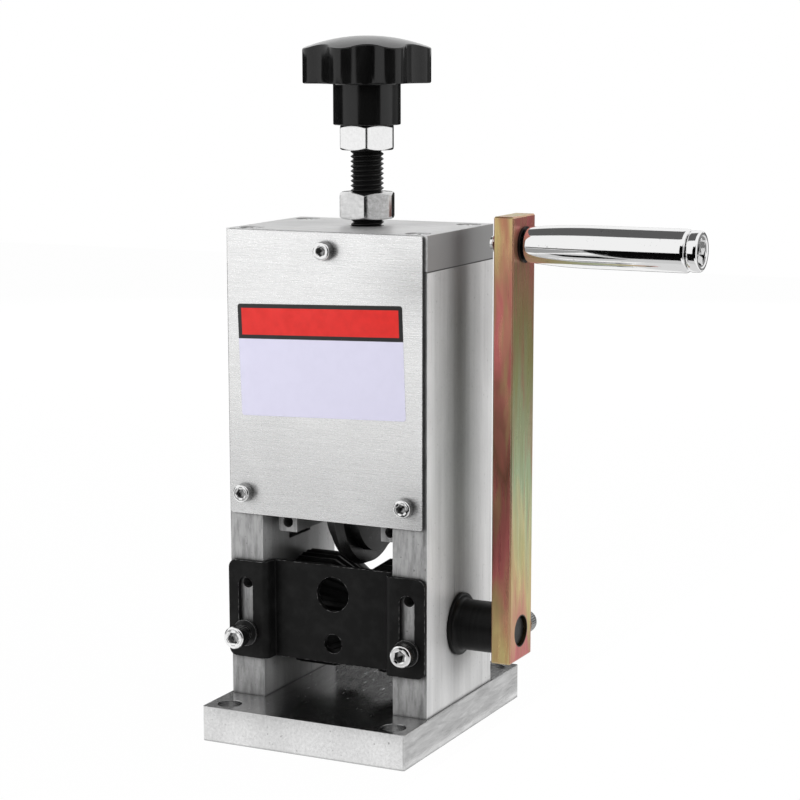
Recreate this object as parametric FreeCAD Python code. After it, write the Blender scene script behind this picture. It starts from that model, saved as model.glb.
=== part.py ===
import FreeCAD, Part
import math
import os

# Hand crank wire stripper. Millimetres, +Z up, +X towards the crank, -Y towards the user.
# The origin is at the middle of the underside of the base plate.

# Base plate and the holes that bolt it to a bench
base_side_margin = 1.0
base_depth = 102.0
base_thick = 13.0
bench_hole_r = 4.5
bench_hole_inset_x = 7.5
bench_hole_inset_y = 7.0
edge_break = 0.6

# Body: two side plates under a top block
body_width = 80.0
body_depth = 56.5
body_y = -2.0
plate_thick = 13.5
plate_height = 160.3
top_thick = 13.0
frame_screw = 5.0
frame_screw_inset = 6.75
base_screw_inset = 11.25
frame_screw_grip = 12.0
counterbore_clear = 0.4

# Front and rear covers, thin sheet
cover_side_gap = 1.15
cover_height = 103.8
cover_drop = 0.2
cover_thick = 1.6
cover_corner_r = 1.0
cover_screw = 4.0
cover_screw_length = 9.0
cover_screw_inset = 7.5
cover_screw_rise = 8.0
cover_screw_drop = 6.3
cover_top_screw_x = 1.2

# Wire guide, bent sheet with slotted ears
guide_sheet = 2.0
guide_height = 36.5
guide_roller_gap = 0.4
guide_side_gap = 0.5
guide_bend_inner = 0.45
guide_ear_corner_r = 3.0
wire_hole_large_r = 6.5
wire_hole_large_drop = 10.7
wire_hole_small_r = 3.6
wire_hole_small_rise = 7.2
guide_slot_width = 6.0
guide_slot_rise = 9.3
guide_slot_travel = 18.0
guide_screw = 5.0
guide_screw_inset = 7.0
guide_screw_z = 37.3
guide_screw_length = 14.0
guide_screw_backoff = 3.6
guide_washer_r = 4.9
guide_washer_thick = 1.0
spare_hole_r = 2.1
spare_hole_rise = 18.6
spare_hole_depth = 9.0

# Drive shaft, its bushes and what turns with it
shaft_z = 42.0
shaft_r = 7.5
shaft_tail = 4.0
spigot_step = 1.95
spigot_recess = 1.2
bush_wall = 2.5
end_washer_rim = 3.5
end_washer_thick = 1.0
circlip_thick = 1.0
circlip_depth = 0.6
circlip_rim = 2.1
circlip_lug_reach = 1.0
circlip_lug_width = 6.4
circlip_gap = 1.6
sleeve_length = 16.6
sleeve_wall = 1.8
sleeve_flange_step = 2.2
sleeve_flange_thick = 1.3
sleeve_flange_slope = 1.6

# Feed roller with a V groove and coarse serrations
roller_r = 21.5
roller_side_gap = 2.0
roller_end_chamfer = 1.5
roller_hub_wall = 4.5
groove_width = 20.0
groove_depth = 6.0
groove_floor = 1.6
tooth_count = 40
tooth_depth = 0.6
key_width = 5.0
key_length = 24.0
key_height = 5.0
key_in_shaft = 3.0

# Crank arm and handle
arm_thick = 7.6
arm_width = 19.5
crank_radius = 139.9
arm_hub_end = 10.6
arm_handle_end = 10.2
arm_edge = 0.5
clamp_screw = 5.0
clamp_screw_length = 10.0
handle_bolt_r = 3.0
handle_bolt_tail = 4.6
handle_washer_r = 6.4
handle_washer_thick = 0.8
grip_length = 60.0
grip_neck_r = 6.1
grip_r = 7.5
grip_swell_r = 7.1
grip_swell = 12.0
grip_taper = 25.0
grip_edge = 0.7
grip_gap = 0.2
handle_head_r = 7.1
handle_head_thick = 4.1
handle_head_edge = 0.9
handle_socket = 8.0
handle_socket_depth = 3.0

# Adjusting screw, knob and nuts
screw_r = 6.0
screw_offset_y = 2.0
knob_hub_r = 12.2
knob_hub_height = 14.8
knob_r = 23.5
knob_lobes = 7
knob_lobe_r = 5.6
knob_scallop_depth = 3.9
knob_rim_height = 12.3
knob_dome = 4.5
star_turned = -88.8
knob_nut_turned = -66.0
lock_nut_turned = -69.5
screw_in_knob = 18.0
hex_flats = 19.0
lock_nut_height = 9.6
lock_nut_lift = 2.6
screw_showing = 15.1
knob_nut_height = 9.0

# Blade carriage that slides between the side plates; it stands off the middle, nearer the crank
carriage_offset = 1.6
carriage_face_gap = 6.25
blade_axle_rise = 11.8
blade_head_gap = 5.0
cheek_thick = 7.6
bridge_thick = 20.0
tongue_width = 16.0
tongue_depth = 2.8
tongue_run_out = 6.0
cheek_hole_r = 2.1
cheek_hole_rise = 3.6
cheek_hole_depth = 9.0
foot_height = 4.8
neck_step = 2.0
retainer_width = 34.0
retainer_depth = 22.0
retainer_thick = 3.0
retainer_screw = 4.0
retainer_screw_pitch = 24.0
retainer_screw_length = 11.0

# Cutting blade and axle
blade_r = 26.0
blade_rest_gap = 3.5
blade_thick = 6.0
blade_bevel = 1.2
blade_hub_r = 20.5
blade_hub_thick = 12.8
axle_r = 5.0
axle_end_gap = 0.6
spacer_r = 9.0
axle_screw = 5.0
axle_screw_sunk = 5.0

# Fits
run_clear = 0.05
thread_clear = 0.05
slide_clear = 0.15
face_clear = 0.1
hole_clear = 0.2

# Proportions of a socket cap screw, as shares of its thread diameter
head_share = 0.85
socket_share = 0.78
socket_depth_share = 0.55

# Sizes and places worked out from the values above
base_width = body_width + 2 * base_side_margin
cover_width = body_width - 2 * cover_side_gap
inner_x = body_width / 2 - plate_thick
plate_mid_x = body_width / 2 - plate_thick / 2
front_y = body_y - body_depth / 2
back_y = body_y + body_depth / 2
guide_screw_x = body_width / 2 - guide_screw_inset
cover_screw_x = body_width / 2 - cover_screw_inset
frame_screw_reach = body_depth / 2 - frame_screw_inset
base_screw_reach = body_depth / 2 - base_screw_inset
plate_top_z = base_thick + plate_height
top_z = plate_top_z + top_thick
cover_top_z = top_z - cover_drop
cover_bottom_z = cover_top_z - cover_height
guide_bottom = guide_screw_z - guide_slot_rise
ear_face_y = front_y - guide_sheet
panel_back_y = body_y - roller_r - guide_roller_gap
panel_face_y = panel_back_y - guide_sheet
bush_r = shaft_r + bush_wall
spigot_r = shaft_r - spigot_step
sleeve_r = shaft_r + sleeve_wall
roller_width = 2 * (inner_x - roller_side_gap)
arm_x = body_width / 2 + face_clear + sleeve_length
arm_face_x = arm_x + arm_thick
handle_z = shaft_z + crank_radius
grip_x = arm_face_x + handle_washer_thick + grip_gap
handle_head_x = grip_x + grip_length + grip_gap
blade_z = shaft_z + roller_r - groove_depth + blade_rest_gap + blade_r
carriage_bottom = blade_z - blade_axle_rise
bridge_bottom_z = blade_z + blade_r + blade_head_gap
bridge_top_z = bridge_bottom_z + bridge_thick
foot_top_z = bridge_top_z - face_clear
neck_r = screw_r - neck_step
carriage_depth = body_depth - 2 * carriage_face_gap
carriage_x = inner_x - slide_clear - carriage_offset
tongue_tip_x = inner_x - slide_clear + tongue_depth
cheek_inner_x = carriage_x - cheek_thick
cheek_mid_x = carriage_x - cheek_thick / 2
carriage_front_y = body_y - carriage_depth / 2
screw_y = body_y + screw_offset_y
knob_nut_z = top_z + lock_nut_lift + lock_nut_height + screw_showing
knob_hub_bottom = knob_nut_z + knob_nut_height
knob_rim_z = knob_hub_bottom + knob_hub_height

RIGHT = FreeCAD.Vector(1, 0, 0)
LEFT = FreeCAD.Vector(-1, 0, 0)
BACK = FreeCAD.Vector(0, 1, 0)
FRONT = FreeCAD.Vector(0, -1, 0)
UP = FreeCAD.Vector(0, 0, 1)
DOWN = FreeCAD.Vector(0, 0, -1)


def at(x, y, z):
    return FreeCAD.Vector(x, y, z)


def in_carriage(x, y, z):
    """Point given by its distance from the middle plane of the carriage."""
    return at(carriage_offset + x, y, z)


def on_screw(z):
    return in_carriage(0, screw_y, z)


def block(x0, x1, y0, y1, z0, z1):
    return Part.makeBox(x1 - x0, y1 - y0, z1 - z0, at(x0, y0, z0))


def rod(radius, length, start, direction):
    return Part.makeCylinder(radius, length, start, direction)


def placed(shape, start, direction):
    """A shape drawn along +Z from the origin, turned along a direction and moved to a point."""
    moved = shape.copy()
    moved.Placement = FreeCAD.Placement(start, FreeCAD.Rotation(UP, direction))
    return moved


def cut_all(shape, tools):
    return shape.cut(Part.makeCompound(tools)).Solids[0]


def hexagon(flats, height):
    """Hexagonal prism on the XY plane, given its size across the flats."""
    corner_r = flats / math.sqrt(3)
    corners = [at(corner_r * math.cos(math.radians(60 * k)), corner_r * math.sin(math.radians(60 * k)), 0)
               for k in range(7)]
    return Part.Face(Part.makePolygon(corners)).extrude(UP * height)


def turned(points):
    """Solid of revolution about Z from (radius, height) corners."""
    corners = [at(radius, 0, height) for radius, height in points]
    outline = Part.makePolygon(corners + corners[:1])
    return Part.Face(outline).revolve(at(0, 0, 0), UP, 360)


def edges_along(shape, direction, keep):
    """Straight edges parallel to a direction whose middle passes the keep test."""
    found = []
    for edge in shape.Edges:
        if not isinstance(edge.Curve, Part.Line):
            continue
        if abs(abs(edge.Curve.Direction.dot(direction)) - 1) > 1e-6:
            continue
        if keep(edge.CenterOfMass):
            found.append(edge)
    return found


def everywhere(point):
    return True


def socket_screw(size, length, seat, direction):
    """Socket cap screw: the head starts at the seat and points along the direction."""
    head_r = head_share * size
    body = turned([(0, -length), (size / 2, -length), (size / 2, 0), (head_r, 0), (head_r, size), (0, size)])
    socket = hexagon(socket_share * size, size)
    socket.translate(at(0, 0, size - socket_depth_share * size))
    return placed(cut_all(body, [socket]), seat, direction)


def grub_screw(size, length, tip, direction):
    """Headless set screw from its flat tip along the direction, with a hex socket in its end."""
    body = rod(size / 2, length, at(0, 0, 0), UP)
    socket = hexagon(size / 2, size / 2)
    socket.translate(at(0, 0, length - size / 2))
    return placed(cut_all(body, [socket]), tip, direction)


def counterbored(size, seat, direction, through):
    """Cutter for a sunk cap screw: shank hole behind the seat, head pocket in front of it."""
    pocket_r = head_share * size + counterbore_clear
    pocket = rod(pocket_r, size + counterbore_clear, seat, direction)
    shank = rod(size / 2 + hole_clear, through, seat, direction.negative())
    return pocket.fuse(shank)


def tapped(size, mouth, direction, depth):
    return rod(size / 2 + thread_clear, depth, mouth, direction)


def frame_screw_spots(reach):
    return [(side * plate_mid_x, body_y + end * reach) for side in (-1, 1) for end in (-1, 1)]


def cover_screw_spots():
    low = cover_bottom_z + cover_screw_rise
    high = cover_top_z - cover_screw_drop
    return [(-cover_screw_x, low), (cover_screw_x, low), (cover_top_screw_x, high)]


def frame_screw_sink():
    return frame_screw + counterbore_clear


# Frame

def base_plate():
    plate = block(-base_width / 2, base_width / 2, -base_depth / 2, base_depth / 2, 0, base_thick)
    plate = plate.makeChamfer(edge_break, edges_along(plate, UP, everywhere))
    hole_x = base_width / 2 - bench_hole_inset_x
    hole_y = base_depth / 2 - bench_hole_inset_y
    cuts = [rod(bench_hole_r, base_thick, at(side * hole_x, end * hole_y, 0), UP)
            for side in (-1, 1) for end in (-1, 1)]
    for x, y in frame_screw_spots(base_screw_reach):
        cuts.append(counterbored(frame_screw, at(x, y, frame_screw_sink()), DOWN, base_thick))
    return cut_all(plate, cuts)


def base_screws():
    length = base_thick - frame_screw_sink() + frame_screw_grip
    return [socket_screw(frame_screw, length, at(x, y, frame_screw_sink()), DOWN)
            for x, y in frame_screw_spots(base_screw_reach)]


def side_plate(side):
    """Side plate: side is -1 for the left one and 1 for the crank's."""
    faces = sorted((side * inner_x, side * body_width / 2))
    plate = block(faces[0], faces[1], front_y, back_y, base_thick, plate_top_z)
    outward = RIGHT * side
    cuts = [rod(bush_r, plate_thick, at(side * inner_x, body_y, shaft_z), outward)]
    groove = sorted((side * inner_x, side * (inner_x + tongue_depth + slide_clear)))
    half = tongue_width / 2 + slide_clear
    groove_bottom = carriage_bottom - tongue_run_out
    cuts.append(block(groove[0], groove[1], body_y - half, body_y + half, groove_bottom, plate_top_z))
    for x, y in frame_screw_spots(base_screw_reach):
        if x * side > 0:
            cuts.append(tapped(frame_screw, at(x, y, base_thick), UP, frame_screw_grip + face_clear))
    for x, y in frame_screw_spots(frame_screw_reach):
        if x * side > 0:
            cuts.append(tapped(frame_screw, at(x, y, plate_top_z), DOWN, frame_screw_grip + face_clear))
    for x, z in cover_screw_spots()[:2]:
        if x * side > 0:
            cuts.append(tapped(cover_screw, at(x, front_y, z), BACK, cover_screw_length))
            cuts.append(tapped(cover_screw, at(x, back_y, z), FRONT, cover_screw_length))
    guide_x = side * guide_screw_x
    cuts.append(tapped(guide_screw, at(guide_x, front_y, guide_screw_z), BACK, guide_screw_length))
    spare_z = guide_screw_z + spare_hole_rise
    cuts.append(rod(spare_hole_r, spare_hole_depth, at(guide_x, front_y, spare_z), BACK))
    return cut_all(plate, cuts)


def top_block():
    block_top = block(-body_width / 2, body_width / 2, front_y, back_y, plate_top_z, top_z)
    cuts = [rod(screw_r + thread_clear, top_thick, on_screw(plate_top_z), UP)]
    for x, y in frame_screw_spots(frame_screw_reach):
        cuts.append(counterbored(frame_screw, at(x, y, top_z - frame_screw_sink()), UP, top_thick))
    x, z = cover_screw_spots()[-1]
    cuts.append(tapped(cover_screw, at(x, front_y, z), BACK, cover_screw_length))
    cuts.append(tapped(cover_screw, at(x, back_y, z), FRONT, cover_screw_length))
    return cut_all(block_top, cuts)


def top_screws():
    length = top_thick - frame_screw_sink() + frame_screw_grip
    return [socket_screw(frame_screw, length, at(x, y, top_z - frame_screw_sink()), UP)
            for x, y in frame_screw_spots(frame_screw_reach)]


def cover(face_y, outward):
    """Flat sheet cover on the face of the body at face_y."""
    far_y = face_y + outward.y * cover_thick
    span = sorted((face_y, far_y))
    sheet = block(-cover_width / 2, cover_width / 2, span[0], span[1], cover_bottom_z, cover_top_z)
    sheet = sheet.makeFillet(cover_corner_r, edges_along(sheet, BACK, everywhere))
    cuts = [rod(cover_screw / 2 + hole_clear, cover_thick, at(x, face_y, z), outward)
            for x, z in cover_screw_spots()]
    return cut_all(sheet, cuts)


def cover_screws(face_y, outward):
    seat_y = face_y + outward.y * cover_thick
    return [socket_screw(cover_screw, cover_screw_length, at(x, seat_y, z), outward)
            for x, z in cover_screw_spots()]


# Wire guide

def guide_profile():
    """Hat section of the guide, seen from above, one side and its mirror image."""
    ear_x = body_width / 2
    web_x = inner_x - guide_side_gap
    flute_x = web_x - guide_sheet
    right = [at(flute_x, panel_face_y, 0), at(flute_x, ear_face_y, 0), at(ear_x, ear_face_y, 0),
             at(ear_x, front_y, 0), at(web_x, front_y, 0), at(web_x, panel_back_y, 0)]
    left = [at(-point.x, point.y, 0) for point in reversed(right)]
    corners = right + left
    return Part.Face(Part.makePolygon(corners + corners[:1]))


def wire_guide():
    guide = guide_profile().extrude(UP * guide_height)
    web_x = inner_x - guide_side_gap
    flute_x = web_x - guide_sheet
    bend_outer = guide_bend_inner + guide_sheet

    def inner_bend(point):
        at_ear = abs(abs(point.x) - web_x) < 1e-3 and abs(point.y - front_y) < 1e-3
        at_panel = abs(abs(point.x) - flute_x) < 1e-3 and abs(point.y - panel_face_y) < 1e-3
        return at_ear or at_panel

    def outer_bend(point):
        at_ear = abs(abs(point.x) - flute_x) < 1e-3 and abs(point.y - ear_face_y) < 1e-3
        at_panel = abs(abs(point.x) - web_x) < 1e-3 and abs(point.y - panel_back_y) < 1e-3
        return at_ear or at_panel

    def ear_corner(point):
        return abs(abs(point.x) - body_width / 2) < 1e-3

    guide = guide.makeFillet(guide_bend_inner, edges_along(guide, UP, inner_bend))
    guide = guide.makeFillet(bend_outer, edges_along(guide, UP, outer_bend))
    guide = guide.makeFillet(guide_ear_corner_r, edges_along(guide, BACK, ear_corner))
    large_rise = guide_height - wire_hole_large_drop
    cuts = [rod(wire_hole_large_r, guide_sheet, at(0, panel_face_y, large_rise), BACK),
            rod(wire_hole_small_r, guide_sheet, at(0, panel_face_y, wire_hole_small_rise), BACK)]
    for side in (-1, 1):
        cuts.append(guide_slot(side * guide_screw_x))
    guide = cut_all(guide, cuts)
    guide.translate(at(0, 0, guide_bottom))
    return guide


def guide_slot(x):
    """Slot through an ear; the guide hangs with the screw at the slot's lower end."""
    half = guide_slot_width / 2
    high = guide_slot_rise + guide_slot_travel
    slot = block(x - half, x + half, ear_face_y, front_y, guide_slot_rise, high)
    for z in (guide_slot_rise, high):
        slot = slot.fuse(rod(half, guide_sheet, at(x, ear_face_y, z), BACK))
    return slot


def guide_screws():
    """The left screw stands backed off, as when the guide is being set."""
    seat_y = ear_face_y - guide_washer_thick
    seats = {-1: seat_y - guide_screw_backoff, 1: seat_y}
    return [socket_screw(guide_screw, guide_screw_length, at(side * guide_screw_x, y, guide_screw_z), FRONT)
            for side, y in seats.items()]


def guide_washers():
    washers = []
    for side in (-1, 1):
        seat = at(side * guide_screw_x, ear_face_y, guide_screw_z)
        disc = rod(guide_washer_r, guide_washer_thick, seat, FRONT)
        washers.append(disc.cut(rod(guide_screw / 2 + hole_clear, guide_washer_thick, seat, FRONT)))
    return washers


# Drive line

def drive_shaft():
    """Turned shaft along X: circlip groove at the left end, spigot for the crank at the right."""
    left = -body_width / 2 - face_clear - end_washer_thick - circlip_thick - shaft_tail
    groove_right = left + shaft_tail + circlip_thick
    groove_left = left + shaft_tail
    groove_r = shaft_r - circlip_depth
    shaft = turned([(0, left), (shaft_r - edge_break, left), (shaft_r, left + edge_break),
                    (shaft_r, groove_left), (groove_r, groove_left), (groove_r, groove_right),
                    (shaft_r, groove_right), (shaft_r, arm_x), (spigot_r, arm_x),
                    (spigot_r, arm_face_x - spigot_recess - edge_break),
                    (spigot_r - edge_break, arm_face_x - spigot_recess), (0, arm_face_x - spigot_recess)])
    shaft = placed(shaft, at(0, body_y, shaft_z), RIGHT)
    keyway = key_block(key_length, shaft_r - key_in_shaft, shaft_r + key_height)
    return cut_all(shaft, [keyway, clamp_screw_hole()])


def key_block(length, low, high):
    """Block over the shaft, from one height above its axis to another."""
    return block(-length / 2, length / 2, body_y - key_width / 2, body_y + key_width / 2,
                 shaft_z + low, shaft_z + high)


def roller_key():
    return key_block(key_length, shaft_r - key_in_shaft, shaft_r - key_in_shaft + key_height)


def clamp_screw_hole():
    """Tapped hole for the crank's clamp screw, from the back edge of the arm into the spigot."""
    mouth = at(arm_x + arm_thick / 2, body_y + arm_width / 2, shaft_z)
    return tapped(clamp_screw, mouth, FRONT, clamp_screw_length + face_clear)


def star_ring(x, radius):
    """Closed saw-tooth outline across the shaft; the tooth depth shrinks with the radius."""
    root = radius * (1 - tooth_depth / roller_r)
    points = []
    for k in range(2 * tooth_count):
        angle = math.pi * k / tooth_count
        reach = radius if k % 2 == 0 else root
        points.append(at(x, body_y + reach * math.sin(angle), shaft_z + reach * math.cos(angle)))
    return points


def feed_roller():
    """Serrated roller: flat facets between saw-tooth rings, so the V flanks are toothed too."""
    half = roller_width / 2
    floor_r = roller_r - groove_depth
    end_r = roller_r - roller_end_chamfer
    groove_x = carriage_offset
    stations = [(-half, end_r), (-half + roller_end_chamfer, roller_r),
                (groove_x - groove_width / 2, roller_r), (groove_x - groove_floor / 2, floor_r),
                (groove_x + groove_floor / 2, floor_r), (groove_x + groove_width / 2, roller_r),
                (half - roller_end_chamfer, roller_r), (half, end_r)]
    rings = [star_ring(x, radius) for x, radius in stations]
    faces = [Part.Face(Part.makePolygon(ring + ring[:1])) for ring in (rings[0], rings[-1])]
    for near, far in zip(rings, rings[1:]):
        for k in range(len(near)):
            after = (k + 1) % len(near)
            corners = [near[k], near[after], far[after], far[k], near[k]]
            faces.append(Part.Face(Part.makePolygon(corners)))
    body = Part.Solid(Part.Shell(faces))
    if body.Volume < 0:
        body.reverse()
    hub_half = inner_x - hole_clear
    hub = rod(shaft_r + roller_hub_wall, 2 * hub_half, at(-hub_half, body_y, shaft_z), RIGHT)
    bore = rod(shaft_r + thread_clear, 2 * hub_half, at(-hub_half, body_y, shaft_z), RIGHT)
    keyway = key_block(2 * hub_half, 0, shaft_r - key_in_shaft + key_height + face_clear)
    return cut_all(body.fuse(hub), [bore, keyway])


def bush(side):
    """Plain bearing bush pressed into a side plate."""
    start = at(side * inner_x, body_y, shaft_z)
    outward = RIGHT * side
    ring = rod(bush_r, plate_thick, start, outward)
    return ring.cut(rod(shaft_r + run_clear, plate_thick, start, outward))


def end_washer():
    start = at(-body_width / 2 - face_clear, body_y, shaft_z)
    disc = rod(shaft_r + end_washer_rim, end_washer_thick, start, LEFT)
    return disc.cut(rod(shaft_r + run_clear, end_washer_thick, start, LEFT))


def shaft_circlip():
    """External circlip: an open ring with two lugs, sprung into the groove of the shaft."""
    start = at(-body_width / 2 - face_clear - end_washer_thick, body_y, shaft_z)
    inner_r = shaft_r - circlip_depth + run_clear
    outer_r = shaft_r + circlip_rim
    ring = rod(outer_r, circlip_thick, start, LEFT)
    outer_x = start.x - circlip_thick
    lug_low = shaft_z - outer_r - circlip_lug_reach
    lug_half = circlip_lug_width / 2
    gap_half = circlip_gap / 2
    lugs = block(outer_x, start.x, body_y - lug_half, body_y + lug_half, lug_low, shaft_z - inner_r)
    gap = block(outer_x, start.x, body_y - gap_half, body_y + gap_half, lug_low, shaft_z)
    return cut_all(ring.fuse(lugs), [rod(inner_r, circlip_thick, start, LEFT), gap])


def spacer_sleeve():
    """Black sleeve between the side plate and the arm, with a flange that slopes into the tube."""
    start = body_width / 2 + face_clear
    bore_r = shaft_r + run_clear
    flange_r = sleeve_r + sleeve_flange_step
    flange_top = start + sleeve_flange_thick
    slope = sleeve_flange_slope
    end = start + sleeve_length
    sleeve = turned([(bore_r, start), (flange_r, start), (flange_r, flange_top),
                     (sleeve_r + slope, flange_top), (sleeve_r, flange_top + slope),
                     (sleeve_r, end), (bore_r, end)])
    return placed(sleeve, at(0, body_y, shaft_z), RIGHT)


# Crank

def crank_arm():
    low = shaft_z - arm_hub_end
    high = handle_z + arm_handle_end
    half = arm_width / 2
    arm = block(arm_x, arm_face_x, body_y - half, body_y + half, low, high)
    arm = arm.makeChamfer(arm_edge, arm.Edges)
    hub_hole = rod(spigot_r + run_clear, arm_thick, at(arm_x, body_y, shaft_z), RIGHT)
    bolt_hole = rod(handle_bolt_r + thread_clear, arm_thick, at(arm_x, body_y, handle_z), RIGHT)
    return cut_all(arm, [hub_hole, bolt_hole, clamp_screw_hole()])


def crank_clamp_screw():
    seat = at(arm_x + arm_thick / 2, body_y + arm_width / 2, shaft_z)
    return socket_screw(clamp_screw, clamp_screw_length, seat, BACK)


def handle_bolt():
    """Long bolt that carries the grip: threaded through the arm, round head with a hex socket."""
    tail = arm_x - handle_bolt_tail
    end = handle_head_x + handle_head_thick
    bolt = turned([(0, tail), (handle_bolt_r - edge_break, tail), (handle_bolt_r, tail + edge_break),
                   (handle_bolt_r, handle_head_x), (handle_head_r - handle_head_edge, handle_head_x),
                   (handle_head_r, handle_head_x + handle_head_edge), (handle_head_r, end - handle_head_edge),
                   (handle_head_r - handle_head_edge, end), (0, end)])
    socket = hexagon(handle_socket, handle_head_thick)
    socket.translate(at(0, 0, end - handle_socket_depth))
    return placed(cut_all(bolt, [socket]), at(0, body_y, handle_z), RIGHT)


def handle_washer():
    start = at(arm_face_x, body_y, handle_z)
    disc = rod(handle_washer_r, handle_washer_thick, start, RIGHT)
    return disc.cut(rod(handle_bolt_r + run_clear, handle_washer_thick, start, RIGHT))


def handle_grip():
    """Turning grip: swells from its neck in two slopes, then runs straight to its end."""
    bore_r = handle_bolt_r + run_clear
    grip = turned([(bore_r, 0), (grip_neck_r - grip_edge, 0), (grip_neck_r, grip_edge),
                   (grip_swell_r, grip_swell), (grip_r, grip_taper), (grip_r, grip_length - grip_edge),
                   (grip_r - grip_edge, grip_length), (bore_r, grip_length)])
    return placed(grip, at(grip_x, body_y, handle_z), RIGHT)


# Adjusting screw

def adjusting_screw():
    """Threaded rod with a necked foot that the carriage hangs on."""
    foot_bottom = foot_top_z - foot_height
    neck_top = bridge_top_z + retainer_thick + face_clear
    top = knob_hub_bottom + screw_in_knob
    screw = turned([(0, foot_bottom), (screw_r, foot_bottom), (screw_r, foot_top_z), (neck_r, foot_top_z),
                    (neck_r, neck_top), (screw_r, neck_top), (screw_r, top), (0, top)])
    screw.translate(on_screw(0))
    return screw


def hex_nut(height, bottom_z, turn):
    """Hexagon nut with chamfered corners, threaded on the adjusting screw."""
    corner_r = hex_flats / math.sqrt(3)
    chamfer = corner_r - hex_flats / 2
    rise = chamfer * 0.6
    envelope = turned([(0, 0), (hex_flats / 2, 0), (corner_r, rise), (corner_r, height - rise),
                       (hex_flats / 2, height), (0, height)])
    nut = hexagon(hex_flats, height).common(envelope)
    nut = cut_all(nut, [rod(screw_r + thread_clear, height, at(0, 0, 0), UP)])
    nut.rotate(at(0, 0, 0), UP, turn)
    nut.translate(on_screw(bottom_z))
    return nut


def lock_nut():
    return hex_nut(lock_nut_height, top_z + lock_nut_lift, lock_nut_turned)


def knob_nut():
    return hex_nut(knob_nut_height, knob_nut_z, knob_nut_turned)


def star_outline():
    """Closed outline of the star: lobes and scallops as arcs that meet tangentially."""
    lobe_at = knob_r - knob_lobe_r
    scallop_at = knob_r - knob_scallop_depth
    half_step = math.pi / knob_lobes
    # the scallop circle comes as near as scallop_at to the axis and touches both lobe circles
    lobe_along = lobe_at * math.cos(half_step)
    lobe_across = lobe_at * math.sin(half_step)
    rise = scallop_at - lobe_along
    scallop_r = (lobe_across ** 2 + rise ** 2 - knob_lobe_r ** 2) / (2 * (knob_lobe_r - rise))
    scallop_centre = scallop_at + scallop_r

    def polar(radius, angle):
        return at(radius * math.cos(angle), radius * math.sin(angle), 0)

    def joint(lobe_angle, scallop_angle):
        lobe = polar(lobe_at, lobe_angle)
        scallop = polar(scallop_centre, scallop_angle)
        return lobe + (scallop - lobe) * (knob_lobe_r / (knob_lobe_r + scallop_r))

    arcs = []
    for k in range(knob_lobes):
        lobe_angle = 2 * math.pi * k / knob_lobes
        before = joint(lobe_angle, lobe_angle - half_step)
        after = joint(lobe_angle, lobe_angle + half_step)
        following = joint(lobe_angle + 2 * half_step, lobe_angle + half_step)
        arcs.append(Part.Arc(before, polar(knob_r, lobe_angle), after).toShape())
        arcs.append(Part.Arc(after, polar(scallop_at, lobe_angle + half_step), following).toShape())
    return Part.Face(Part.Wire(arcs))


def star_knob():
    """Star knob: scalloped rim under a shallow dome, on a round hub."""
    star = star_outline().extrude(UP * (knob_rim_height + knob_dome))
    dome_r = (knob_r ** 2 + knob_dome ** 2) / (2 * knob_dome)
    ball = Part.makeSphere(dome_r, at(0, 0, knob_rim_height + knob_dome - dome_r), UP)
    star = star.common(ball)
    star.rotate(at(0, 0, 0), UP, star_turned)
    star.translate(on_screw(knob_rim_z))
    hub = rod(knob_hub_r, knob_hub_height, on_screw(knob_hub_bottom), UP)
    thread = rod(screw_r + thread_clear, screw_in_knob + face_clear, on_screw(knob_hub_bottom), UP)
    return cut_all(star.fuse(hub), [thread])


# Blade carriage

def blade_carriage():
    """Fork that slides on two tongues: a bridge that the screw lifts and a cheek on each side."""
    back = carriage_front_y + carriage_depth
    left = carriage_offset - carriage_x
    right = carriage_offset + carriage_x
    fork = block(left, right, carriage_front_y, back, carriage_bottom, bridge_top_z)
    fork = fork.makeChamfer(edge_break, edges_along(fork, BACK, everywhere))
    for x0, x1 in ((-tongue_tip_x, left + edge_break), (right - edge_break, tongue_tip_x)):
        tongue = block(x0, x1, body_y - tongue_width / 2, body_y + tongue_width / 2,
                       carriage_bottom + edge_break, bridge_top_z - edge_break)
        fork = fork.fuse(tongue)
    cuts = [block(carriage_offset - cheek_inner_x, carriage_offset + cheek_inner_x, carriage_front_y, back,
                  carriage_bottom, bridge_bottom_z),
            rod(axle_r + thread_clear, 2 * carriage_x - 2 * axle_end_gap,
                in_carriage(axle_end_gap - carriage_x, body_y, blade_z), RIGHT),
            rod(screw_r + face_clear, foot_height + 2 * face_clear,
                on_screw(foot_top_z - foot_height - face_clear), UP)]
    for side in (-1, 1):
        cheek = in_carriage(side * cheek_mid_x, carriage_front_y, carriage_bottom + cheek_hole_rise)
        cuts.append(rod(cheek_hole_r, cheek_hole_depth, cheek, BACK))
        mouth = in_carriage(side * cheek_mid_x, carriage_front_y, blade_z)
        cuts.append(tapped(axle_screw, mouth, BACK, carriage_depth / 2))
        spot = in_carriage(side * retainer_screw_pitch / 2, body_y, bridge_top_z)
        cuts.append(tapped(retainer_screw, spot, DOWN, retainer_screw_length))
    return cut_all(fork.removeSplitter(), cuts)


def axle_screws():
    """Set screws in the cheeks that hold the blade axle, sunk below the front of the cheeks."""
    tip_y = body_y - axle_r
    length = tip_y - carriage_front_y - axle_screw_sunk
    return [grub_screw(axle_screw, length, in_carriage(side * cheek_mid_x, tip_y, blade_z), FRONT)
            for side in (-1, 1)]


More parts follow.
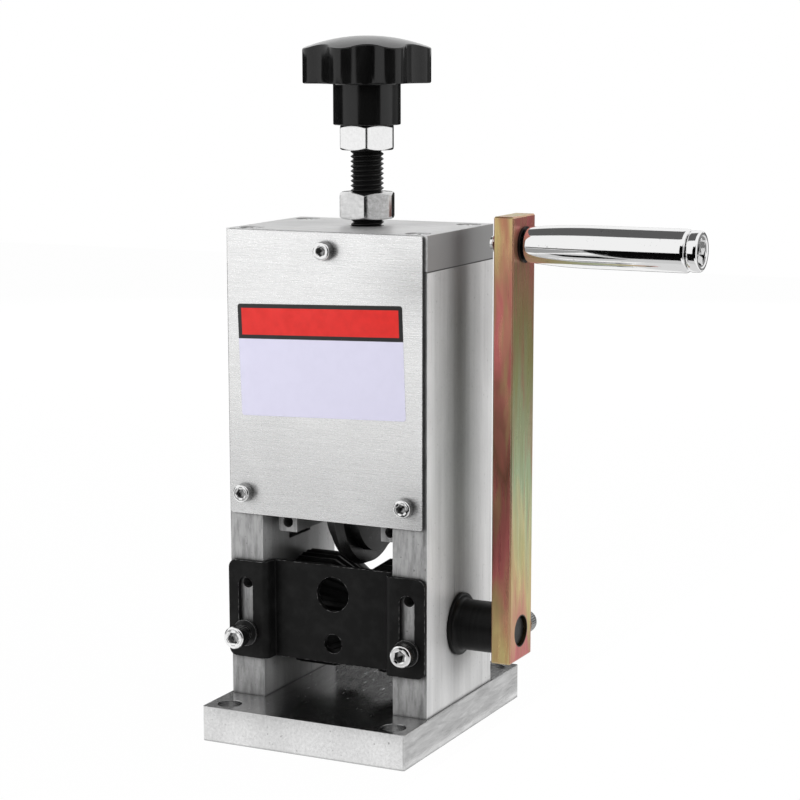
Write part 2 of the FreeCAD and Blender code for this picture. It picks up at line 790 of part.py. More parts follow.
def screw_retainer():
    """Plate with an open slot that traps the foot of the adjusting screw in the bridge."""
    plate = block(-retainer_width / 2, retainer_width / 2, body_y - retainer_depth / 2,
                  body_y + retainer_depth / 2, bridge_top_z, bridge_top_z + retainer_thick)
    plate.translate(in_carriage(0, 0, 0))
    slot_half = neck_r + face_clear
    slot = block(-slot_half, slot_half, body_y - retainer_depth / 2, screw_y,
                 bridge_top_z, bridge_top_z + retainer_thick)
    slot.translate(in_carriage(0, 0, 0))
    cuts = [slot, rod(slot_half, retainer_thick, on_screw(bridge_top_z), UP)]
    for side in (-1, 1):
        spot = in_carriage(side * retainer_screw_pitch / 2, body_y, bridge_top_z)
        cuts.append(rod(retainer_screw / 2 + hole_clear, retainer_thick, spot, UP))
    return cut_all(plate, cuts)


def retainer_screws():
    seat_z = bridge_top_z + retainer_thick
    reach = retainer_screw_pitch / 2
    return [socket_screw(retainer_screw, retainer_screw_length, in_carriage(side * reach, body_y, seat_z), UP)
            for side in (-1, 1)]


def cutting_blade():
    """Round blade, ground to an edge from both sides, between the thick flanges of its hub."""
    half = blade_thick / 2
    hub_half = blade_hub_thick / 2
    bore_r = axle_r + run_clear
    flat_r = blade_r - blade_bevel
    edge_half = 0.05
    profile = [(bore_r, -hub_half), (blade_hub_r, -hub_half), (blade_hub_r, -half), (flat_r, -half),
               (blade_r, -edge_half), (blade_r, edge_half), (flat_r, half), (blade_hub_r, half),
               (blade_hub_r, hub_half), (bore_r, hub_half)]
    return placed(turned(profile), in_carriage(0, body_y, blade_z), RIGHT)


def blade_axle():
    length = 2 * (carriage_x - axle_end_gap)
    return rod(axle_r, length, in_carriage(-length / 2, body_y, blade_z), RIGHT)


def blade_spacer(side):
    """Spacer tube on the axle between a cheek and the hub of the blade."""
    start_x = blade_hub_thick / 2 + face_clear
    start = in_carriage(side * start_x, body_y, blade_z)
    length = cheek_inner_x - start_x
    outward = RIGHT * side
    return rod(spacer_r, length, start, outward).cut(rod(axle_r + thread_clear, length, start, outward))


def write(name, shape):
    solids = shape if isinstance(shape, list) else [shape]
    whole = Part.makeCompound(solids) if len(solids) > 1 else solids[0]
    whole.exportStep("parts/" + name + ".step")


def main():
    os.makedirs("parts", exist_ok=True)
    write("base_plate", base_plate())
    write("base_screws", base_screws())
    write("side_plate_left", side_plate(-1))
    write("side_plate_right", side_plate(1))
    write("top_block", top_block())
    write("top_screws", top_screws())
    write("front_cover", cover(front_y, FRONT))
    write("rear_cover", cover(back_y, BACK))
    write("front_cover_screws", cover_screws(front_y, FRONT))
    write("rear_cover_screws", cover_screws(back_y, BACK))
    write("wire_guide", wire_guide())
    write("guide_screws", guide_screws())
    write("guide_washers", guide_washers())
    write("drive_shaft", drive_shaft())
    write("roller_key", roller_key())
    write("feed_roller", feed_roller())
    write("shaft_bush_left", bush(-1))
    write("shaft_bush_right", bush(1))
    write("end_washer", end_washer())
    write("shaft_circlip", shaft_circlip())
    write("spacer_sleeve", spacer_sleeve())
    write("crank_arm", crank_arm())
    write("crank_clamp_screw", crank_clamp_screw())
    write("handle_bolt", handle_bolt())
    write("handle_washer", handle_washer())
    write("handle_grip", handle_grip())
    write("adjusting_screw", adjusting_screw())
    write("lock_nut", lock_nut())
    write("knob_nut", knob_nut())
    write("star_knob", star_knob())
    write("blade_carriage", blade_carriage())
    write("axle_screws", axle_screws())
    write("screw_retainer", screw_retainer())
    write("retainer_screws", retainer_screws())
    write("cutting_blade", cutting_blade())
    write("blade_axle", blade_axle())
    write("blade_spacer_left", blade_spacer(-1))
    write("blade_spacer_right", blade_spacer(1))


main()
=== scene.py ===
import math

import bmesh
import bpy
from mathutils import Matrix, Vector


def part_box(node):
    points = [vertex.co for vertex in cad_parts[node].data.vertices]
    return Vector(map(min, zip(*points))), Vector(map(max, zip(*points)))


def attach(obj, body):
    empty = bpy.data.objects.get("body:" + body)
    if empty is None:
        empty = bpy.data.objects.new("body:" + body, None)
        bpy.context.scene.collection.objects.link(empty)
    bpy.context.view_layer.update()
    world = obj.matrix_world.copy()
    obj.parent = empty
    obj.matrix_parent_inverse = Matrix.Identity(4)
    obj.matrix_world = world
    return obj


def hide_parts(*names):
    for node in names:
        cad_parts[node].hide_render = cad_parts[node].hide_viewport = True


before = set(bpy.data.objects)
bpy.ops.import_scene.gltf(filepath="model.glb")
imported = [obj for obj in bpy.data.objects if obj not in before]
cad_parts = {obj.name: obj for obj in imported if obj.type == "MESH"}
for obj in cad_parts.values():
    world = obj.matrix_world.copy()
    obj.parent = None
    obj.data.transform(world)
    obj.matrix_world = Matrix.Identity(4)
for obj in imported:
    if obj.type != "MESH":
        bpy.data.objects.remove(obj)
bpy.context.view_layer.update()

# Looks of the hand crank wire stripper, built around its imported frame. Metres, in the frame's axes:
# +Z up, +X towards the crank, -Y towards the user.

MM = 0.001
TAU = 2 * math.pi
UP = Vector((0, 0, 1))
RIGHT = Vector((1, 0, 0))
FRONT = Vector((0, -1, 0))
BACK = Vector((0, 1, 0))
DOWN = Vector((0, 0, -1))

# Socket cap screws, as shares of the thread diameter
head_share = 0.85
rim_share = 0.16
socket_share = 0.78
socket_depth_share = 0.55
knurl_share = 0.022
knurl_from_share = 0.09
knurl_to_share = 0.74
knurl_ridges = 36
screw_steps = 72
screw_turn_step = math.radians(23)

# Adjusting screw and its nuts
hex_flats = 19 * MM
nut_bore_r = 5.9 * MM
nut_lead_in = 0.7 * MM
nut_chamfer_share = 0.97
nut_chamfer_slope = math.tan(math.radians(30))
nut_corner_worn = 0.12 * MM
nut_seat_gap = 0.05 * MM
nut_steps = 96
thread_r = 6 * MM
thread_pitch = 1.75 * MM
thread_depth = 1.0 * MM
neck_r = 4 * MM
foot_height = 4.8 * MM
neck_height = 3.2 * MM
screw_rod_steps = 48
knob_nut_turned = math.radians(-66.0)
lock_nut_turned = math.radians(-69.5)

# Star knob
star_turned = math.radians(-88.8)
knob_r = 23.5 * MM
knob_lobes = 7
knob_lobe_r = 5.6 * MM
knob_scallop_r_at = 19.6 * MM
knob_hub_r = 12.2 * MM
knob_hub_height = 14.8 * MM
knob_hub_edge = 0.4 * MM
knob_hub_cove = 0.5 * MM
knob_bore_past_hub = 3 * MM
knob_lead_in = 0.6 * MM
knob_rim_height = 12.3 * MM
knob_dome = 4.5 * MM
knob_edge = 0.55 * MM
knob_dome_shares = (0.96, 0.9, 0.8, 0.68, 0.55, 0.42, 0.28, 0.14, 0.03)

# Handle
grip_r = 7.5 * MM
grip_neck_r = 6.1 * MM
grip_taper = 25 * MM
grip_taper_steps = 16
grip_edge = 1.3 * MM
grip_gap = 0.2 * MM
grip_bore_gap = 0.1 * MM
turned_steps = 96
bolt_r = 3 * MM
bolt_socket = 8 * MM
bolt_socket_depth = 3 * MM
bolt_head_edge = 1.0 * MM
bolt_dish = 0.35 * MM
bolt_turned = math.radians(12)
bolt_thread_pitch = 1.0 * MM
bolt_thread_depth = 0.5 * MM

# Crank arm, with painted shade in the bore that takes the shaft
crank_bore_r = 5.9 * MM

# Sleeve between the body and the crank arm
sleeve_bore_r = 7.6 * MM
sleeve_r = 9.3 * MM
sleeve_flange_thick = 1.3 * MM
sleeve_cove_r = 1.6 * MM
sleeve_edge = 0.3 * MM

# Wear on bright edges; painted shade in corners and between the plates, where other bodies close them in
worn_edge_share = 0.6
contact_shade_reach = 0.9 * MM
occlusion_shade_reach = 32 * MM

# Yellow zinc plating, in five sRGB colours, and where they come along the arm, from its
# shaft to its handle: (share of its height, colour)
straw = (210, 190, 130)
rose = (200, 110, 110)
brown = (110, 70, 55)
pale_green = (160, 180, 140)
olive = (150, 140, 90)
arm_edge_colours = [(0.0, straw), (0.2, rose), (0.45, brown), (0.8, rose), (1.0, straw)]
arm_flat_colours = [(0.0, rose), (0.15, straw), (0.4, pale_green), (0.75, olive), (1.0, rose)]

# Blank sticker on the front cover
label_width = 66 * MM
label_height = 40.6 * MM
label_band = 12.6 * MM
label_frame = 1.5 * MM
label_blur = 0.05 * MM
label_corner_r = 1.0 * MM
label_thick = 0.10 * MM
label_centre_x = -1.2 * MM
label_centre_z = 140.2 * MM
label_turned = math.radians(2.0)


# Meshes

def round_at(radius, height):
    return lambda angle: (radius, height)


def hex_radius(flats, angle):
    """Distance from the axis to the side of a hexagon, with a corner at angle 0."""
    off_middle = (angle % (TAU / 6)) - TAU / 12
    return flats / 2 / math.cos(off_middle)


def hex_at(flats, height):
    return lambda angle: (hex_radius(flats, angle), height)


def arc_stations(radius, height, edge, start, end, steps=4):
    """Stations of a rounded edge: an arc of radius edge about (radius, height), between two angles."""
    made = []
    for k in range(steps + 1):
        turn = math.radians(start + (end - start) * k / steps)
        made.append(round_at(radius + edge * math.cos(turn), height + edge * math.sin(turn)))
    return made


def lofted(stations, steps, hollow=False):
    """Closed mesh about Z. Each station is a function of an angle that gives a radius and a height.

    The stations run from the bottom up on the outside; a hollow body joins the last to the first."""
    mesh = bmesh.new()
    rings = []
    for station in stations:
        ring = []
        for k in range(steps):
            angle = TAU * k / steps
            radius, height = station(angle)
            ring.append(mesh.verts.new((radius * math.cos(angle), radius * math.sin(angle), height)))
        rings.append(ring)
    pairs = list(zip(rings, rings[1:]))
    if hollow:
        pairs.append((rings[-1], rings[0]))
    else:
        mesh.faces.new(list(reversed(rings[0])))
        mesh.faces.new(rings[-1])
    for low, high in pairs:
        for k in range(steps):
            after = (k + 1) % steps
            mesh.faces.new((low[k], low[after], high[after], high[k]))
    return mesh


def placed(mesh, start, direction, turn=0.0):
    """Moves a mesh drawn along +Z to a start point, along a direction, turned about its own axis."""
    spin = Matrix.Rotation(turn, 4, "Z")
    tilt = UP.rotation_difference(direction).to_matrix().to_4x4()
    mesh.transform(Matrix.Translation(start) @ tilt @ spin)
    return mesh


def merged(meshes):
    """One mesh from several, which are freed."""
    whole = bmesh.new()
    for mesh in meshes:
        passing = bpy.data.meshes.new("passing")
        mesh.to_mesh(passing)
        mesh.free()
        whole.from_mesh(passing)
        bpy.data.meshes.remove(passing)
    return whole


def piece(name, mesh, body, material, replaced=None, corner=32):
    """Object from a mesh, which is freed. It rides on a body, in place of a CAD node if one is named.

    Edges sharper than the corner angle, in degrees, stay sharp."""
    data = bpy.data.meshes.new(name)
    mesh.to_mesh(data)
    mesh.free()
    data.shade_smooth()
    data.set_sharp_from_angle(angle=math.radians(corner))
    for one in material if isinstance(material, tuple) else (material,):
        data.materials.append(one)
    thing = bpy.data.objects.new(name, data)
    bpy.context.scene.collection.objects.link(thing)
    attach(thing, body)
    if replaced:
        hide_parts(replaced)


def solid_boxes(node):
    """Boxes of the separate solids of a node: (lowest corner, highest corner) each, sorted by place."""
    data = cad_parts[node].data
    leader = {}

    def find(key):
        while leader[key] != key:
            leader[key] = leader[leader[key]]
            key = leader[key]
        return key

    keys = [tuple(round(value, 6) for value in vertex.co) for vertex in data.vertices]
    for key in keys:
        leader[key] = key
    for edge in data.edges:
        leader[find(keys[edge.vertices[0]])] = find(keys[edge.vertices[1]])
    groups = {}
    for key in leader:
        groups.setdefault(find(key), []).append(key)
    boxes = []
    for points in groups.values():
        low = Vector([min(point[axis] for point in points) for axis in range(3)])
        high = Vector([max(point[axis] for point in points) for axis in range(3)])
        boxes.append((low, high))
    return sorted(boxes, key=lambda box: tuple(box[0]))


def threaded(radius, pitch, depth, start, end, steps):
    """Screw thread about Z between two heights; it runs out into the core at both ends."""
    core = radius - depth
    profile = [(0.0, core), (0.44, radius), (0.56, radius)]
    turns = int((end - start) / pitch) + 3
    mesh = bmesh.new()
    rows = []
    for turn in range(turns):
        for share, reach in profile:
            row = []
            for k in range(steps):
                height = start + pitch * (turn - 1 + share + k / steps)
                inside = start + pitch / 2 < height < end - pitch / 2
                height = min(max(height, start), end)
                r = reach if inside else core
                angle = TAU * k / steps
                row.append(mesh.verts.new((r * math.cos(angle), r * math.sin(angle), height)))
            rows.append(row)
    per_turn = len(profile)
    for j in range(len(rows) - 1):
        for k in range(steps - 1):
            mesh.faces.new((rows[j][k], rows[j][k + 1], rows[j + 1][k + 1], rows[j + 1][k]))
        if j + 1 + per_turn < len(rows):
            mesh.faces.new((rows[j][-1], rows[j + per_turn][0], rows[j + 1 + per_turn][0], rows[j + 1][-1]))
    bmesh.ops.remove_doubles(mesh, verts=mesh.verts, dist=1e-7)
    bmesh.ops.dissolve_degenerate(mesh, edges=mesh.edges, dist=1e-7)
    loose = [vert for vert in mesh.verts if not vert.link_faces]
    bmesh.ops.delete(mesh, geom=loose, context="VERTS")
    bmesh.ops.holes_fill(mesh, edges=[edge for edge in mesh.edges if edge.is_boundary], sides=0)
    bmesh.ops.recalc_face_normals(mesh, faces=mesh.faces)
    return mesh


def cap_screw(low, high, direction, turn=0.0):
    """Socket cap screw that fills the box of a CAD screw: knurled head, rounded rim, hex socket.

    Its knurl and socket take the second material."""
    across = [high[axis] - low[axis] for axis in range(3) if abs(direction[axis]) < 0.5]
    size = across[0] / 2 / head_share
    length = max(abs((high - low).dot(direction)), size) - size
    middle = (low + high) / 2
    seat = middle + direction * (length / 2 - size / 2)
    head_r = head_share * size
    shank_r = size / 2
    rim = rim_share * size
    ridge = knurl_share * size
    valley_r = head_r - ridge
    flats = socket_share * size
    lip_r = hex_radius(flats, 0) * 1.05

    def knurled(height):
        return lambda angle: (valley_r + ridge * math.cos(knurl_ridges * angle), height)

    stations = [round_at(shank_r * 0.8, -length), round_at(shank_r, -length + 0.1 * size),
                round_at(shank_r, 0), round_at(head_r * 0.95, 0), round_at(valley_r, 0.05 * size),
                knurled(knurl_from_share * size), knurled(knurl_to_share * size),
                round_at(valley_r, 0.80 * size)]
    stations += arc_stations(valley_r - rim, size - rim, rim, 0, 90)
    stations += [round_at(lip_r, size), hex_at(flats, size - 0.04 * size),
                 hex_at(flats, size - socket_depth_share * size),
                 round_at(0.1 * size, size - (socket_depth_share + 0.12) * size)]
    mesh = lofted(stations, screw_steps)
    mesh.normal_update()
    for face in mesh.faces:
        centre = face.calc_center_median()
        out = math.hypot(centre.x, centre.y)
        knurl = out > 0.92 * head_r and abs(face.normal.z) < 0.5
        socket = out < lip_r and 0 < centre.z < size - 0.06 * size
        face.material_index = 1 if knurl or socket else 0
    return placed(mesh, seat, direction, turn)


def hex_nut(low, high, turn):
    """Hexagon nut with chamfered ends that fills the height of a CAD nut."""
    height = high.z - low.z
    chamfer_r = hex_flats / 2 * nut_chamfer_share
    corner_r = hex_flats / math.sqrt(3) - nut_corner_worn
    mouth_r = nut_bore_r + nut_lead_in

    def side_r(angle):
        return min(hex_radius(hex_flats, angle), corner_r)

    def bottom_edge(angle):
        return side_r(angle), (side_r(angle) - chamfer_r) * nut_chamfer_slope

    def top_edge(angle):
        return side_r(angle), height - (side_r(angle) - chamfer_r) * nut_chamfer_slope

    stations = [round_at(nut_bore_r, nut_lead_in), round_at(mouth_r, 0), round_at(chamfer_r, 0),
                bottom_edge, top_edge, round_at(chamfer_r, height), round_at(mouth_r, height),
                round_at(nut_bore_r, height - nut_lead_in)]
    middle = (low + high) / 2
    return placed(lofted(stations, nut_steps, hollow=True), Vector((middle.x, middle.y, low.z)), UP, turn)


def star_radius(angle):
    """Radius of the knob's star, which has a lobe at angle 0: lobes and scallops that meet tangentially."""
    half_step = TAU / knob_lobes / 2
    lobe_at = knob_r - knob_lobe_r
    rise = knob_scallop_r_at - lobe_at * math.cos(half_step)
    across = lobe_at * math.sin(half_step)
    scallop_r = (across ** 2 + rise ** 2 - knob_lobe_r ** 2) / (2 * (knob_lobe_r - rise))
    scallop_at = knob_scallop_r_at + scallop_r
    share = knob_lobe_r / (knob_lobe_r + scallop_r)
    meet_x = lobe_at + (scallop_at * math.cos(half_step) - lobe_at) * share
    meet_y = scallop_at * math.sin(half_step) * share
    off = abs((angle + half_step) % (2 * half_step) - half_step)
    if off < math.atan2(meet_y, meet_x):
        return lobe_at * math.cos(off) + math.sqrt(knob_lobe_r ** 2 - (lobe_at * math.sin(off)) ** 2)
    back = half_step - off
    return scallop_at * math.cos(back) - math.sqrt(scallop_r ** 2 - (scallop_at * math.sin(back)) ** 2)


def knob_mesh(foot):
    """Star knob over a foot height, from its threaded bore out over hub and rim to the dome."""
    rim_bottom = knob_hub_height
    dome_r = (knob_r ** 2 + knob_dome ** 2) / (2 * knob_dome)
    dome_base = knob_hub_height + knob_rim_height + knob_dome - dome_r

    def dome_z(radius):
        return dome_base + math.sqrt(dome_r ** 2 - radius ** 2)

    def rim_at(inset, height):
        return lambda angle: (star_radius(angle) - inset, height)

    def top_edge(turn):
        def station(angle):
            inset = knob_edge * (1 - math.cos(turn))
            radius = star_radius(angle) - inset
            return radius, dome_z(star_radius(angle) - knob_edge) - knob_edge * (1 - math.sin(turn))
        return station

    def dome_ring(share):
        def station(angle):
            radius = (star_radius(angle) - knob_edge) * share
            return radius, dome_z(radius)
        return station

    stations = [round_at(nut_bore_r, knob_hub_height + knob_bore_past_hub),
                round_at(nut_bore_r, knob_lead_in), round_at(nut_bore_r + knob_lead_in, 0)]
    stations += arc_stations(knob_hub_r - knob_hub_edge, knob_hub_edge, knob_hub_edge, -90, 0)
    stations += [round_at(knob_hub_r, rim_bottom - knob_hub_cove),
                 round_at(knob_hub_r + knob_hub_cove, rim_bottom)]
    stations += [rim_at(knob_edge, rim_bottom), rim_at(knob_edge * 0.3, rim_bottom + knob_edge * 0.3),
                 rim_at(0, rim_bottom + knob_edge)]
    stations += [top_edge(math.radians(turn)) for turn in (0, 30, 60, 90)]
    stations += [dome_ring(share) for share in knob_dome_shares]
    screw_low, screw_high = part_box("adjusting_screw")
    axis = (screw_low + screw_high) / 2
    steps = 32 * knob_lobes
    return placed(lofted(stations, steps), Vector((axis.x, axis.y, foot)), UP, star_turned)


def rounded_rectangle(width, height, corner):
    """Outline of a rounded rectangle on the XY plane, counterclockwise about its centre."""
    steps = 6
    points = []
    for quarter, (sx, sy) in enumerate(((1, 1), (-1, 1), (-1, -1), (1, -1))):
        for k in range(steps + 1):
            turn = TAU / 4 * (quarter + k / steps)
            points.append((sx * (width / 2 - corner) + corner * math.cos(turn),
                           sy * (height / 2 - corner) + corner * math.sin(turn)))
    return points


# Materials

def srgb(red, green, blue):
    """Linear colour of an sRGB colour given in 0 to 255."""
    made = []
    for value in (red, green, blue):
        share = value / 255
        made.append(share / 12.92 if share <= 0.04045 else ((share + 0.055) / 1.055) ** 2.4)
    return (*made, 1.0)


def grey(value):
    return srgb(value, value, value)


def node(tree, kind, inputs=None, **settings):
    """Adds a node; an input is a value or another node's output socket."""
    made = tree.nodes.new(kind)
    for key, value in settings.items():
        setattr(made, key, value)
    for key, value in (inputs or {}).items():
        if isinstance(value, bpy.types.NodeSocket):
            tree.links.new(value, made.inputs[key])
        else:
            made.inputs[key].default_value = value
    return made


def fresh_material(name, roughness, metallic=0.0, specular=0.5):
    material = bpy.data.materials.new(name)
    material.use_nodes = True
    shader = material.node_tree.nodes["Principled BSDF"]
    shader.inputs["Roughness"].default_value = roughness
    shader.inputs["Metallic"].default_value = metallic
    shader.inputs["Specular IOR Level"].default_value = specular
    return material, material.node_tree, shader


def noise(tree, scale, detail=3.0, roughness=0.5, distortion=0.0):
    """Noise in the piece's own coordinates; scale is per metre along each axis."""
    place = node(tree, "ShaderNodeTexCoord").outputs["Object"]
    sized = node(tree, "ShaderNodeMapping", {"Vector": place, "Scale": scale}).outputs["Vector"]
    return node(tree, "ShaderNodeTexNoise", {"Vector": sized, "Scale": 1.0, "Detail": detail,
                                             "Roughness": roughness, "Distortion": distortion}).outputs["Fac"]


def spread(tree, value, low, high, to_low=0.0, to_high=1.0):
    """Maps a value from one range to another and clamps it."""
    return node(tree, "ShaderNodeMapRange", {"Value": value, "From Min": low, "From Max": high,
                                             "To Min": to_low, "To Max": to_high}).outputs["Result"]


def mixed(tree, share, first, second, blend="MIX"):
    made = node(tree, "ShaderNodeMix", data_type="RGBA", blend_type=blend)
    for socket, value in ((made.inputs[0], share), (made.inputs[6], first), (made.inputs[7], second)):
        if isinstance(value, bpy.types.NodeSocket):
            tree.links.new(value, socket)
        else:
            socket.default_value = value
    return made.outputs[2]


def ramp(tree, value, stops):
    """Colour ramp from (place, sRGB colour) stops."""
    made = node(tree, "ShaderNodeValToRGB", {"Fac": value})
    elements = made.color_ramp.elements
    for element, (place, colour) in zip(elements, (stops[0], stops[-1])):
        element.position = place
        element.color = srgb(*colour)
    for place, colour in stops[1:-1]:
        elements.new(place).color = srgb(*colour)
    return made.outputs["Color"]


def math_node(tree, operation, first, second=0.0):
    made = node(tree, "ShaderNodeMath", operation=operation)
    for socket, value in zip(made.inputs, (first, second)):
        if isinstance(value, bpy.types.NodeSocket):
            tree.links.new(value, socket)
        else:
            socket.default_value = value
    return made.outputs["Value"]


def times(tree, first, second):
    return math_node(tree, "MULTIPLY", first, second)


def edge_mask(tree, radius):
    """Near 1 on the edges of the solid and 0 on its flats."""
    rounded = node(tree, "ShaderNodeBevel", {"Radius": radius}, samples=4).outputs["Normal"]
    plain = node(tree, "ShaderNodeNewGeometry").outputs["Normal"]
    along = node(tree, "ShaderNodeVectorMath", operation="DOT_PRODUCT")
    tree.links.new(rounded, along.inputs[0])
    tree.links.new(plain, along.inputs[1])
    return spread(tree, along.outputs["Value"], 0.995, 0.86)


def bump(tree, height, distance, strength=1.0, normal=None):
    inputs = {"Height": height, "Distance": distance, "Strength": strength}
    if normal is not None:
        inputs["Normal"] = normal
    return node(tree, "ShaderNodeBump", inputs).outputs["Normal"]


def bevel_normal(tree, radius):
    return node(tree, "ShaderNodeBevel", {"Radius": radius}, samples=4).outputs["Normal"]


def own_place(tree, axis):
    """Coordinate of the surface along an axis, in the piece's own frame."""
    own = node(tree, "ShaderNodeTexCoord").outputs["Object"]
    return node(tree, "ShaderNodeSeparateXYZ", {"Vector": own}).outputs[axis]


def facing(tree, axis):
    """1 where the surface faces along an axis of the piece, either way, and 0 on its other sides."""
    own = node(tree, "ShaderNodeTexCoord").outputs["Normal"]
    parts = node(tree, "ShaderNodeSeparateXYZ", {"Vector": own})
    return spread(tree, math_node(tree, "ABSOLUTE", parts.outputs[axis]), 0.5, 0.9)


def hidden(tree, reach, open_at, closed_at):
    """How far bodies within reach close the surface in: 0 in the open, 1 in corners."""
    openness = node(tree, "ShaderNodeAmbientOcclusion", {"Distance": reach}, samples=4).outputs["AO"]
    return spread(tree, openness, open_at, closed_at)


def finer(grain, factor):
    return tuple(value * factor for value in grain)


def marked(tree, shade, height, where, share, colour):
    """Marks that colour the surface and sink into it: the new shade and height."""
    amount = times(tree, where, share)
    return mixed(tree, amount, shade, colour), math_node(tree, "SUBTRACT", height, amount)


def finished(tree, shader, shade, roughness, normal):
    """Links a material's patterns to its shader."""
    for name, value in (("Base Color", shade), ("Roughness", roughness), ("Normal", normal)):
        tree.links.new(value, shader.inputs[name])


def machined(name, colour, roughness, grain, metallic=0.8, streak=0.16, blotch=0.10, pits=0.0,
             scratches=0.0, contact_shade=0.0, occlusion_shade=0.0, occlusion_shade_on=None, seam=None, grain_depth=0.01 * MM,
             edge=0.35 * MM, edge_colour=None, tint=None):
    """Machined or rolled metal: grain, cloudy patches, pits, scratches, painted shade in corners and worn
    edges.

    grain is the noise scale along each axis; a painted shade darkens where other bodies close the surface in,
    on faces along one axis only if that is named; seam is the height of a dark line; tint is a function that
    changes the colour."""
    material, tree, shader = fresh_material(name, roughness, metallic)
    lines = noise(tree, grain, detail=5.0, roughness=0.6)
    fine = noise(tree, finer(grain, 3.1), detail=2.0)
    clouds = noise(tree, (45, 45, 30), detail=3.0, distortion=0.4)
    dark = tuple(value * (1 - streak) for value in colour[:3]) + (1.0,)
    light = tuple(min(value * (1 + streak * 0.5), 1.0) for value in colour[:3]) + (1.0,)
    shade = mixed(tree, spread(tree, lines, 0.3, 0.7), dark, light)
    cloud_low = (1 - blotch, 1 - blotch, 1 - blotch, 1.0)
    cloud = mixed(tree, spread(tree, clouds, 0.32, 0.68), cloud_low, (1, 1, 1, 1))
    shade = mixed(tree, 1.0, shade, cloud, "MULTIPLY")
    height = math_node(tree, "ADD", times(tree, lines, 0.6), times(tree, fine, 0.4))
    if pits:
        specks = spread(tree, noise(tree, (900, 900, 900), detail=1.0), 0.70, 0.78)
        shade, height = marked(tree, shade, height, specks, pits, grey(70))
    if scratches:
        hairs = spread(tree, noise(tree, finer(grain, 5), detail=4.0, roughness=0.7), 0.60, 0.72)
        shade, height = marked(tree, shade, height, hairs, scratches, grey(60))
    if tint:
        shade = tint(tree, shade)
    worn = times(tree, edge_mask(tree, edge), worn_edge_share)
    shade = mixed(tree, worn, shade, edge_colour or grey(240))
    # Painted shade where other bodies close the surface in: the band behind the crank arm, the base's top
    # between the plates
    if occlusion_shade:
        share = times(tree, hidden(tree, occlusion_shade_reach, 0.85, 0.35), occlusion_shade)
        if occlusion_shade_on:
            share = times(tree, share, facing(tree, occlusion_shade_on))
        shade = mixed(tree, share, shade, grey(30))
    if seam is not None:
        in_seam = spread(tree, own_place(tree, "Z"), seam + 0.3 * MM, seam + 0.6 * MM, 0.9, 0.0)
        shade = mixed(tree, in_seam, shade, grey(24))
    # Painted shade in tight corners and along the lines where parts touch
    if contact_shade:
        shade = mixed(tree, times(tree, hidden(tree, contact_shade_reach, 0.9, 0.45), contact_shade), shade, grey(16))
    rough = spread(tree, fine, 0.25, 0.75, roughness * 0.85, min(roughness * 1.2, 1.0))
    finished(tree, shader, shade, rough, bump(tree, height, grain_depth, normal=bevel_normal(tree, edge)))
    return material


def side_plate_metal():
    """Milled plate with grain along its height; its fronts are stained and darker overall with painted shade.
    """
    def stains_and_shade_on_fronts(tree, shade):
        # Real stains on the fronts, and an overall darkening of them that is painted shade
        stains = noise(tree, (500, 500, 90), detail=5.0, roughness=0.7)
        stained = mixed(tree, spread(tree, stains, 0.44, 0.68), grey(218), grey(160))
        return mixed(tree, facing(tree, "Y"), shade, stained, "MULTIPLY")
    return machined("plate_aluminium", grey(205), 0.38, (190, 190, 6), metallic=0.15, streak=0.17,
                    blotch=0.14, pits=0.6, scratches=0.5, contact_shade=0.8, occlusion_shade=0.75, tint=stains_and_shade_on_fronts)


def top_block_metal():
    """Like the plates, with darker sawn ends at its sides and a dark seam where it sits on the plates."""
    def darker_sides(tree, shade):
        return mixed(tree, facing(tree, "X"), shade, grey(158))
    return machined("top_aluminium", grey(232), 0.34, (60, 800, 800), metallic=0.5, streak=0.20, blotch=0.16,
                    pits=0.3, scratches=0.3, contact_shade=0.8, seam=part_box("top_block")[0].z, tint=darker_sides)


def base_metal():
    """Base plate: pale pitted ends, brushed darker sides, scored top with painted shade between the plates.
    """
    def darker_sides(tree, shade):
        brushed = noise(tree, (60, 70, 420), detail=5.0, roughness=0.65, distortion=0.5)
        streaky = mixed(tree, spread(tree, brushed, 0.30, 0.66), grey(172), grey(216))
        return mixed(tree, facing(tree, "X"), shade, streaky)
    return machined("base_aluminium", grey(232), 0.23, (800, 60, 800), metallic=1.0, streak=0.14, blotch=0.14,
                    pits=0.6, scratches=0.35, contact_shade=0.8, occlusion_shade=0.28, occlusion_shade_on="Z", tint=darker_sides)


def cover_metal():
    """Satin stainless sheet with fine grain across it and darker rims."""
    def darker_rims(tree, shade):
        return mixed(tree, facing(tree, "X"), shade, grey(90))
    return machined("cover_steel", grey(243), 0.27, (60, 900, 1300), metallic=0.75, streak=0.06, blotch=0.05,
                    contact_shade=0.6, grain_depth=0.003 * MM, edge=0.25 * MM, tint=darker_rims)


def zinc_metal():
    """Bright zinc of the screws and the nut under the knob."""
    return machined("bright_zinc", grey(244), 0.12, (900, 900, 900), metallic=1.0, streak=0.06, blotch=0.05,
                    contact_shade=0.7, grain_depth=0.003 * MM, edge=0.3 * MM)


def worn_zinc():
    """Zinc that a spanner has dulled and scratched."""
    return machined("worn_zinc", grey(220), 0.15, (420, 420, 700), metallic=1.0, streak=0.16, blotch=0.14,
                    scratches=0.3, contact_shade=0.7, grain_depth=0.02 * MM, edge=0.3 * MM)


def shaded_knurl_metal():
    """Knurled sides and sockets of the screws, darker than the heads: painted shade in the grooves and
    sockets.
    """
    return machined("shaded_knurl_steel", grey(176), 0.22, (900, 900, 900), metallic=1.0, streak=0.4, blotch=0.3,
                    grain_depth=0.01 * MM, edge=0.1 * MM)


def washer_metal():
    """Dark washer with bright worn edges."""
    return machined("washer_steel", grey(56), 0.3, (700, 700, 700), metallic=0.8, streak=0.3, blotch=0.3,
                    edge=0.2 * MM, edge_colour=grey(235))


